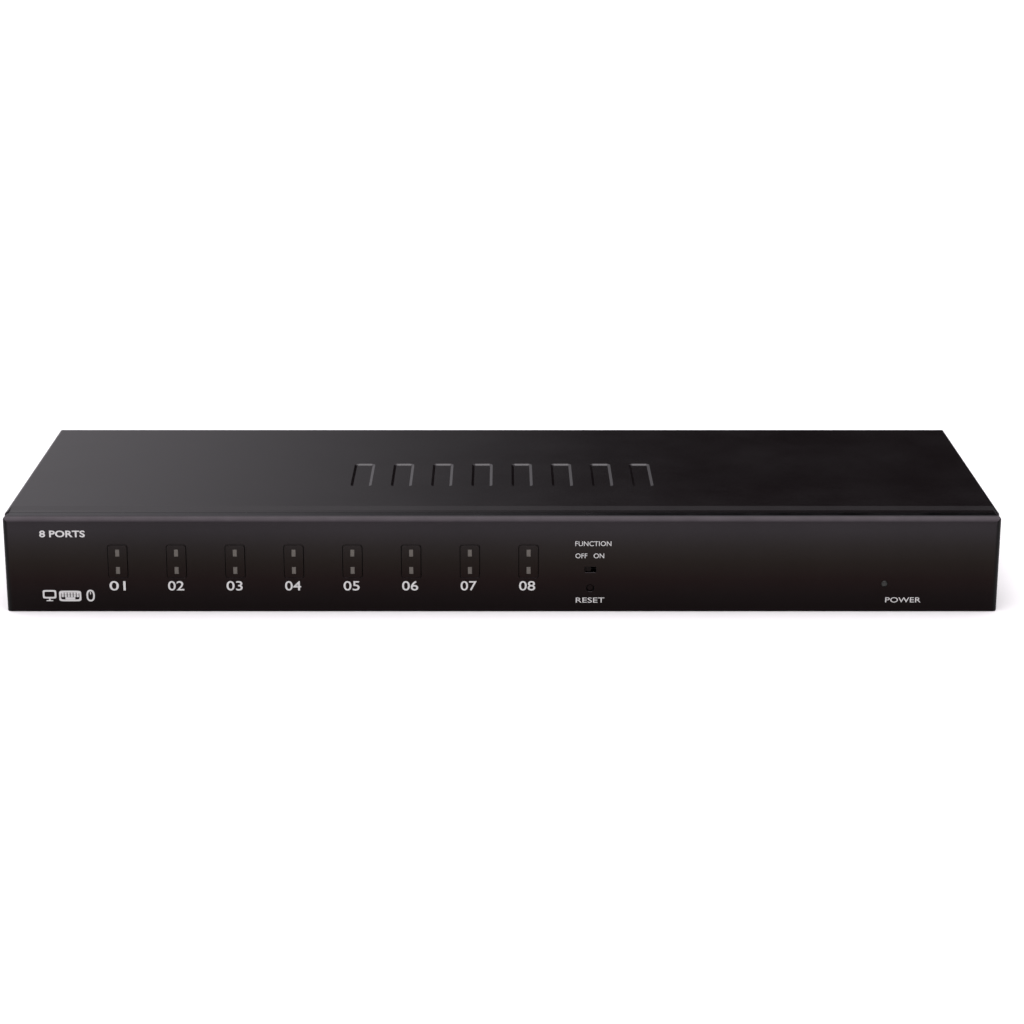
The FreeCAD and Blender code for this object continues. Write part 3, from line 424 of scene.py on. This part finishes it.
def bezel_plastic():
    """Smoky black moulding with a spark-eroded grain, a painted highlight along its rounded top edge and
    painted shade on its rounded sides.
    """
    look = Look("bezel_plastic", specular=0.08)
    base = smoky(look)
    worn = look.times(look.edges(0.6 * MM), look.noise(3 * MM, detail=3))
    base = look.mix(look.times(worn, 0.2), base, (0.04, 0.039, 0.038))
    tilt = look.tilt()
    # Painted highlight: the rounded top edge, where the surface faces partly up, is coloured lighter.
    highlight_rounding = look.times(look.ramp(tilt, 0.2, 0.6, smooth=True), look.ramp(tilt, 0.985, 0.85, smooth=True))
    painted_highlight = look.times(highlight_rounding, look.spread(look.noise(9 * MM, detail=5), 0.7, 1.0))
    base = look.mix(painted_highlight, base, (0.060, 0.052, 0.058))
    # Painted shade: the rounded sides, where the surface faces left or right, are coloured near black.
    base = look.mix(look.sideways(0.15, 0.5), base, (0.0008, 0.0008, 0.0008))
    level = look.ramp(tilt, 0.97, 0.995)
    look.colour(look.mix(level, base, (0.044, 0.042, 0.045)))
    look.set("Metallic", level)
    polish = look.ramp(level, 0, 1, 0.0, -0.14)
    grain = look.spread(look.noise(12 * MM, detail=4), 0.34, 0.42)
    look.set("Roughness", look.plus(grain, polish))
    look.bump(look.noise(0.35 * MM, detail=3), 0.008 * MM)
    look.on("front_bezel")


def button_plastic():
    """The bezel's plastic, with the same painted shade by height, and a finer grain."""
    look = Look("button_plastic", specular=0.07)
    look.colour(look.mix(look.times(look.edges(0.25 * MM), 0.15), smoky(look), (0.035, 0.035, 0.036)))
    look.set("Roughness", look.spread(look.noise(5 * MM, detail=4), 0.34, 0.42))
    look.bump(look.noise(0.25 * MM), 0.004 * MM)
    look.on("reset_button", "firmware_slider", *[f"port_button_{n}" for n in PORTS])


def lens_plastic(name, dark, light, *things):
    """Unlit light pipes: plastic that clouds from dark to light."""
    look = Look(name, roughness=0.3, specular=0.3)
    cloud = look.noise(0.8 * MM, detail=3)
    look.colour(look.mix(cloud, dark, light))
    look.bump(cloud, 0.01 * MM)
    look.on(*things)


def moulded(name, dark, light, *things, roughness=0.45):
    """Plain moulded plastic: flow marks, a fine grain and edges a little paler."""
    look = Look(name, specular=0.4)
    flow = look.noise(6 * MM, detail=4, roughness=0.6)
    base = look.mix(flow, dark, light)
    pale = tuple(0.6 * part + 0.08 for part in light)
    look.colour(look.mix(look.times(look.edges(0.2 * MM), 0.25), base, pale))
    look.set("Roughness", look.spread(flow, roughness - 0.05, roughness + 0.06))
    look.bump(look.noise(0.3 * MM, detail=3), 0.006 * MM)
    look.on(*things)


def plated(name, dark, light, *things, roughness=0.36, stretch=(1, 1, 1)):
    """Plated metal: faint drawn lines, dull patches and brighter edges."""
    look = Look(name, metallic=1.0)
    drawn = look.noise(0.5 * MM, detail=4, place=look.stretched(*stretch))
    dull = look.noise(3 * MM, detail=4, roughness=0.6)
    base = look.mix(dull, dark, light)
    bright = tuple(min(1.0, 1.15 * part + 0.05) for part in light)
    look.colour(look.mix(look.times(look.edges(0.15 * MM), 0.5), base, bright))
    look.set("Roughness", look.spread(dull, roughness - 0.06, roughness + 0.10))
    look.bump(drawn, 0.004 * MM)
    look.on(*things)


def board_laminate():
    """Green solder mask over copper tracks."""
    look = Look("board_laminate", specular=0.5)
    weave = look.noise(0.5 * MM, detail=2)
    base = look.mix(weave, (0.006, 0.085, 0.035), (0.009, 0.105, 0.045))
    tracks = look.lines(9 * MM, 0.035)
    base = look.mix(look.times(tracks, 0.8), base, (0.018, 0.20, 0.075))
    via = look.ramp(look.cells(5 * MM), 0.075, 0.06)
    look.colour(look.mix(via, base, (0.55, 0.50, 0.38)))
    look.set("Roughness", look.spread(look.noise(20 * MM, detail=3), 0.26, 0.36))
    look.bump(tracks, 0.03 * MM)
    look.on("front_board", "main_board")


def ribbon_vinyl():
    """Grey flat cable: a ridge over each conductor, with painted shade in the grooves between them."""
    look = Look("ribbon_vinyl", specular=0.4)
    pitch = 1.27 * MM
    ridges_and_groove_shade = look.stripes(pitch)
    # Painted shade: the grooves between the ridges are coloured darker and the crests lighter.
    base = look.mix(ridges_and_groove_shade, (0.30, 0.30, 0.31), (0.48, 0.48, 0.49))
    look.colour(look.mix(look.times(look.noise(8 * MM, detail=3), 0.3), base, (0.36, 0.35, 0.34)))
    look.set("Roughness", look.spread(look.noise(4 * MM), 0.38, 0.48))
    look.bump(ridges_and_groove_shade, 0.25 * MM)
    look.on("ribbon_cable")


def print_ink(*things):
    """White screen-printed ink, a little uneven where it laid down thin."""
    look = Look("print_ink", roughness=0.5, specular=0.3)
    thin = look.ramp(look.noise(0.5 * MM, detail=4, roughness=0.7), 0.60, 0.78)
    look.colour(look.mix(look.times(thin, 0.5), (0.58, 0.58, 0.57), (0.28, 0.28, 0.28)))
    look.bump(look.noise(0.15 * MM), 0.004 * MM)
    look.on(*things)


def finish_cad_nodes():
    """Materials of the nodes that have no recipe of their own above."""
    shells = [f"cpu_port_shell_{n}" for n in PORTS] + ["console_video_shell", "usb_console_shell"]
    plungers = [f"switch_plunger_{n}" for n in PORTS] + ["reset_plunger"]
    moulded("blue_plastic", (0.012, 0.045, 0.24), (0.020, 0.065, 0.32), "plug_inserts")
    moulded("purple_plastic", (0.15, 0.075, 0.27), (0.20, 0.10, 0.34), "keyboard_socket")
    moulded("green_plastic", (0.045, 0.24, 0.11), (0.065, 0.31, 0.15), "mouse_socket")
    moulded("black_plastic", (0.012, 0.012, 0.012), (0.020, 0.020, 0.020), "ribbon_headers", "dc_inlet")
    moulded("white_plastic", (0.62, 0.61, 0.57), (0.72, 0.71, 0.67), "usb_tongues")
    moulded("switch_plastic", (0.016, 0.016, 0.017), (0.026, 0.026, 0.027), "switch_bodies")
    moulded("plunger_plastic", (0.46, 0.42, 0.33), (0.56, 0.52, 0.43), *plungers)
    moulded("chip_plastic", (0.014, 0.014, 0.015), (0.022, 0.022, 0.023), "logic_chips", roughness=0.6)
    moulded("led_resin", (0.55, 0.54, 0.47), (0.68, 0.67, 0.60), "indicator_leds", roughness=0.2)
    plated("nickel_steel", (0.52, 0.50, 0.46), (0.66, 0.64, 0.60), *shells, "jackscrews")
    plated("nickel_trim", (0.50, 0.49, 0.45), (0.64, 0.62, 0.58), "slide_switch_frame", "dc_inlet_pin")
    plated("zinc_steel", (0.46, 0.47, 0.48), (0.62, 0.63, 0.62), "board_standoffs", "board_screws")
    plated("can_sleeve", (0.50, 0.50, 0.52), (0.62, 0.62, 0.64), "capacitors", stretch=(1, 1, 0.05))
    plated("black_screw", (0.030, 0.030, 0.032), (0.055, 0.055, 0.058), "case_screws")


# ---- Mesh helpers ----
def piece(name, builder, body=None):
    """An object with the mesh in builder, riding on a body."""
    mesh = bpy.data.meshes.new(name)
    bmesh.ops.recalc_face_normals(builder, faces=builder.faces)
    builder.to_mesh(mesh)
    builder.free()
    made = bpy.data.objects.new(name, mesh)
    bpy.context.scene.collection.objects.link(made)
    if body:
        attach(made, body)
    return made


def block(builder, low, high, bevel=0.0):
    """A block between two corners, with its edges rounded off by bevel."""
    low = Vector(low)
    high = Vector(high)
    size = Matrix.Diagonal((*(high - low), 1))
    made = bmesh.ops.create_cube(builder, size=1, matrix=Matrix.Translation((low + high) / 2) @ size)
    if bevel:
        edges = {edge for vert in made["verts"] for edge in vert.link_edges}
        bmesh.ops.bevel(builder, geom=list(edges), offset=bevel, segments=2, affect="EDGES", profile=0.5)


def loop_points(centre, half_width, half_height, y, segments, power):
    """Points round a superellipse in a plane of constant y: power 2 is an ellipse, and more is squarer."""
    points = []
    for step in range(segments):
        turn = 2 * math.pi * (step + 0.5) / segments
        across = math.copysign(abs(math.cos(turn)) ** (2 / power), math.cos(turn))
        up = math.copysign(abs(math.sin(turn)) ** (2 / power), math.sin(turn))
        points.append((centre[0] + half_width * across, y, centre[1] + half_height * up))
    return points


def band(builder, centre, half_width, half_height, width, y0, y1, segments=24, power=2.0):
    """A closed ring, width thick, round centre (x, z), from y0 to y1."""
    rings = []
    for inset, y in ((0, y0), (0, y1), (width, y1), (width, y0)):
        points = loop_points(centre, half_width - inset, half_height - inset, y, segments, power)
        rings.append([builder.verts.new(point) for point in points])
    for first, second in zip(rings, rings[1:] + rings[:1]):
        for step in range(segments):
            after = (step + 1) % segments
            builder.faces.new((first[step], first[after], second[after], second[step]))


# ---- Prints ----
class Print:
    """Ink on a panel whose face is at y. side is -1 on the front and 1 on the rear, as the panel faces."""

    THICKNESS = 0.04 * MM
    ROOT = THICKNESS / 4  # how far the ink goes into the panel

    def __init__(self, y, side):
        self.builder = bmesh.new()
        self.side = side
        if side < 0:
            self.y0 = y - self.THICKNESS
            self.y1 = y + self.ROOT
        else:
            self.y0 = y - self.ROOT
            self.y1 = y + self.THICKNESS

    def bar(self, x0, x1, z0, z1):
        block(self.builder, (x0, self.y0, z0), (x1, self.y1, z1))

    def ring(self, x, z, half_width, half_height, width, power=2.0):
        ends = (self.y0, self.y1)
        band(self.builder, (x, z), half_width, half_height, width, *ends, segments=32, power=power)

    def text(self, words, x, z, height, width=None, weight=0.0):
        """Words centred on (x, z), as high as height and as wide as width, or else in proportion.

        weight thickens their strokes, in parts of the font's size."""
        curve = bpy.data.curves.new("words", "FONT")
        curve.body = words
        curve.offset = weight
        curve.extrude = 0.5  # gives the letters a front and a back, which go to y0 and y1 below
        curve.resolution_u = 4
        letters = bpy.data.objects.new("words", curve)
        bpy.context.scene.collection.objects.link(letters)
        graph = bpy.context.evaluated_depsgraph_get()
        mesh = bpy.data.meshes.new_from_object(letters.evaluated_get(graph))
        bpy.data.objects.remove(letters)
        xs = [vert.co.x for vert in mesh.vertices]
        ys = [vert.co.y for vert in mesh.vertices]
        scale_z = height / (max(ys) - min(ys))
        scale_x = width / (max(xs) - min(xs)) if width else scale_z
        for vert in mesh.vertices:
            across = (vert.co.x - (min(xs) + max(xs)) / 2) * scale_x
            up = (vert.co.y - (min(ys) + max(ys)) / 2) * scale_z
            vert.co = (x - self.side * across, self.y0 if vert.co.z < 0 else self.y1, z + up)
        self.builder.from_mesh(mesh)
        bpy.data.meshes.remove(mesh)

    def monitor(self, x, z, width, bold=1.0):
        """A screen on its foot."""
        line = 0.075 * bold * width
        self.ring(x, z + 0.10 * width, 0.50 * width, 0.33 * width, line, power=7)
        self.bar(x - 0.06 * width, x + 0.06 * width, z - 0.36 * width, z - 0.22 * width)
        self.bar(x - 0.24 * width, x + 0.24 * width, z - 0.43 * width, z - 0.36 * width)

    def keyboard(self, x, z, width, bold=1.0):
        """A case with two rows of keys over a long one."""
        self.ring(x, z, 0.50 * width, 0.25 * width, 0.06 * bold * width, power=7)
        key = 0.035 * bold * width
        for row in (0, 1):
            for column in range(6):
                key_x = x + (column - 2.5) * 0.135 * width
                key_z = z + (0.11 - 0.11 * row) * width
                self.bar(key_x - key, key_x + key, key_z - key, key_z + key)
        self.bar(x - 0.22 * width, x + 0.22 * width, z - 0.11 * width - key, z - 0.11 * width + key)

    def mouse(self, x, z, height, bold=1.0):
        """An oval body with its wheel."""
        self.ring(x, z, 0.34 * height, 0.50 * height, 0.08 * bold * height, power=2.4)
        self.bar(x - 0.035 * height, x + 0.035 * height, z + 0.10 * height, z + 0.32 * height)

    def finished(self, name):
        return piece(name, self.builder, "case")


def front_prints():
    """Numbers under the buttons, words by the other controls, and a heading and three marks at the left."""
    ink = Print(FACE_Y, -1)
    for n in PORTS:
        number_x = middle(f"port_button_{n}").x - NUMBER_LEFT
        number_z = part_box(f"port_button_{n}")[0].z - NUMBER_BELOW
        ink.text(f"0{n}", number_x, number_z, NUMBER_HEIGHT, NUMBER_WIDTH, weight=0.008)
    for words, node, right, up, height, width in FACE_WORDS:
        place = middle(node)
        ink.text(words, place.x + right * MM, place.z + up * MM, height * MM, width * MM)
    left = BEZEL_LOW.x + MARKS_LEFT
    heading_z = BEZEL_HIGH.z - HEADING_DOWN
    ink.text("8 PORTS", left + HEADING_RIGHT, heading_z, HEADING_HEIGHT, HEADING_WIDTH, weight=0.025)
    foot_z = BEZEL_LOW.z + MARKS_UP
    ink.monitor(left + 2.9 * MM, foot_z, 6.0 * MM, bold=1.7)
    ink.keyboard(left + 12.0 * MM, foot_z - 0.2 * MM, 9.8 * MM, bold=1.4)
    ink.mouse(left + 21.0 * MM, foot_z, 5.4 * MM, bold=1.7)
    return ink.finished("front_prints")


def rear_prints():
    """A number over each computer's socket, and pictograms by the console's sockets and the inlet."""
    ink = Print(WALL_Y, 1)
    for n in PORTS:
        place = MOUNTS[f"cpu_port_{n}"]
        z = place.z + REAR_PRINT_UP
        ink.text(str(n), place.x, z, REAR_NUMBER_HEIGHT, weight=0.01)
        for x0, x1 in RULES:
            ink.bar(place.x + x0, place.x + x1, z - RULE_HALF, z + RULE_HALF)
    video = MOUNTS["console_video"]
    ink.monitor(video.x, video.z + REAR_PRINT_UP, MONITOR_WIDTH)
    keyboard = MOUNTS["console_keyboard"]
    mouse = MOUNTS["console_mouse"]
    ink.keyboard(keyboard.x + REAR_PRINT_BESIDE, keyboard.z, KEYBOARD_WIDTH)
    ink.mouse(mouse.x + REAR_PRINT_BESIDE, mouse.z, MOUSE_HEIGHT)
    inlet = MOUNTS["power_inlet"]
    direct_current(ink, inlet.x, inlet.z + CURRENT_UP)
    ground = MOUNTS["ground_point"]
    earth(ink, ground.x, ground.z + EARTH_UP)
    return ink.finished("rear_prints")


def direct_current(ink, x, z):
    """A line over three dashes."""
    ink.bar(x - 2.2 * MM, x + 2.2 * MM, z + 1.0 * MM, z + 1.0 * MM + SYMBOL_LINE)
    for step in (-1, 0, 1):
        dash_x = x + 1.6 * MM * step
        ink.bar(dash_x - 0.6 * MM, dash_x + 0.6 * MM, z, z + SYMBOL_LINE)


def earth(ink, x, z):
    """Three shortening lines under a stem."""
    ink.bar(x - SYMBOL_LINE / 2, x + SYMBOL_LINE / 2, z + SYMBOL_LINE, z + 2.2 * MM)
    for step, half in enumerate((1.8, 1.1, 0.4)):
        level = z - step * 0.9 * MM
        ink.bar(x - half * MM, x + half * MM, level, level + SYMBOL_LINE)


# ---- Rear sockets ----
def video_contacts():
    """Fifteen sprung contact tubes in each video socket."""
    builder = bmesh.new()
    for name in VIDEO_MOUNTS:
        place = MOUNTS[name]
        mouth = place.y - PIN_SUNK
        for row in range(3):
            for column in range(5):
                x = place.x + (column - 2) * PIN_PITCH + (row - 1) * PIN_STAGGER
                centre = (x, place.z + (1 - row) * PIN_ROW_PITCH)
                band(builder, centre, PIN_R, PIN_R, PIN_WALL, mouth - PIN_LENGTH, mouth, segments=12)
    return piece("video_contacts", builder, "case")


def round_contacts():
    """The shield and the six contact tubes of the keyboard's and the mouse's sockets."""
    builder = bmesh.new()
    for name in ("console_keyboard", "console_mouse"):
        place = MOUNTS[name]
        shield_y0, shield_y1 = (place.y - depth for depth in SHIELD_DEPTHS)
        band(builder, (place.x, place.z), SHIELD_R, SHIELD_R, SHIELD_WALL, shield_y0, shield_y1, segments=48)
        pin_y0, pin_y1 = (place.y - depth for depth in ROUND_PIN_DEPTHS)
        for angle in ROUND_PIN_ANGLES:
            turn = math.radians(angle)
            pin_x = place.x + ROUND_PIN_ACROSS * math.cos(turn)
            pin_z = place.z + ROUND_PIN_RISE + ROUND_PIN_UP * math.sin(turn)
            pin = (pin_x, pin_z)
            band(builder, pin, ROUND_PIN_R, ROUND_PIN_R, ROUND_PIN_WALL, pin_y0, pin_y1, segments=12)
    return piece("round_contacts", builder, "case")


def tongue_tops():
    """The heights of the upper faces of the double socket's two tongues."""
    low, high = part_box("usb_tongues")
    return (low.z + TONGUE_HEIGHT, high.z)


def usb_contacts():
    """Four contact strips under each tongue."""
    builder = bmesh.new()
    low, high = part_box("usb_tongues")
    y0 = low.y + STRIP_ENDS[0]
    y1 = high.y - STRIP_ENDS[1]
    for top in tongue_tops():
        under = top - TONGUE_HEIGHT
        for offset in STRIP_XS:
            x = middle("usb_tongues").x + offset
            corner = (x - STRIP_HALF, y0, under - STRIP_THICK)
            block(builder, corner, (x + STRIP_HALF, y1, under), STRIP_BEVEL)
    return piece("usb_contacts", builder, "case")


def usb_fingers():
    """Sprung fingers pressed out of the double socket's shell into its openings."""
    builder = bmesh.new()
    shell_x = middle("usb_console_shell").x
    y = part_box("usb_console_shell")[1].y - FINGER_SUNK
    for top in tongue_tops():
        centre_z = top - TONGUE_HEIGHT / 2 - TONGUE_RISE
        for side in (-1, 1):
            wall = centre_z + side * OPENING_HEIGHT / 2
            for offset in FINGER_XS:
                finger(builder, shell_x + offset, y, wall, -side)
    return piece("usb_fingers", builder, "case")


def finger(builder, x, y, z, direction):
    """A bowed strip that runs inwards from y along the wall at z, and swells towards direction."""
    rows = []
    for step in range(FINGER_STEPS + 1):
        along = step / FINGER_STEPS
        level = z + FINGER_BOW * math.sin(math.pi * along) * direction
        near, far = sorted((level, level + FINGER_THICK * direction))
        back = y - FINGER_REACH * along
        left, right = x - FINGER_HALF, x + FINGER_HALF
        corners = ((left, near), (right, near), (right, far), (left, far))
        rows.append([builder.verts.new((corner_x, back, corner_z)) for corner_x, corner_z in corners])
    for first, second in zip(rows, rows[1:]):
        for side in range(4):
            after = (side + 1) % 4
            builder.faces.new((first[side], first[after], second[after], second[side]))
    builder.faces.new(rows[0])
    builder.faces.new(rows[-1])


# ---- The scene ----
bpy.context.scene.view_settings.view_transform = "Standard"
make_camera()
make_floor()
make_lights()
painted_steel()
bezel_plastic()
button_plastic()
port_lenses = [f"port_lens_{n}" for n in PORTS]
lens_plastic("lens_plastic", (0.081, 0.073, 0.063), (0.118, 0.105, 0.091), *port_lenses)
lens_plastic("smoked_lens", (0.012, 0.012, 0.011), (0.022, 0.022, 0.020), "power_lens")
board_laminate()
ribbon_vinyl()
finish_cad_nodes()
print_ink(front_prints(), rear_prints())
contacts = (video_contacts(), round_contacts(), usb_contacts(), usb_fingers())
plated("contact_plate", (0.60, 0.52, 0.33), (0.74, 0.65, 0.44), *contacts, roughness=0.22)
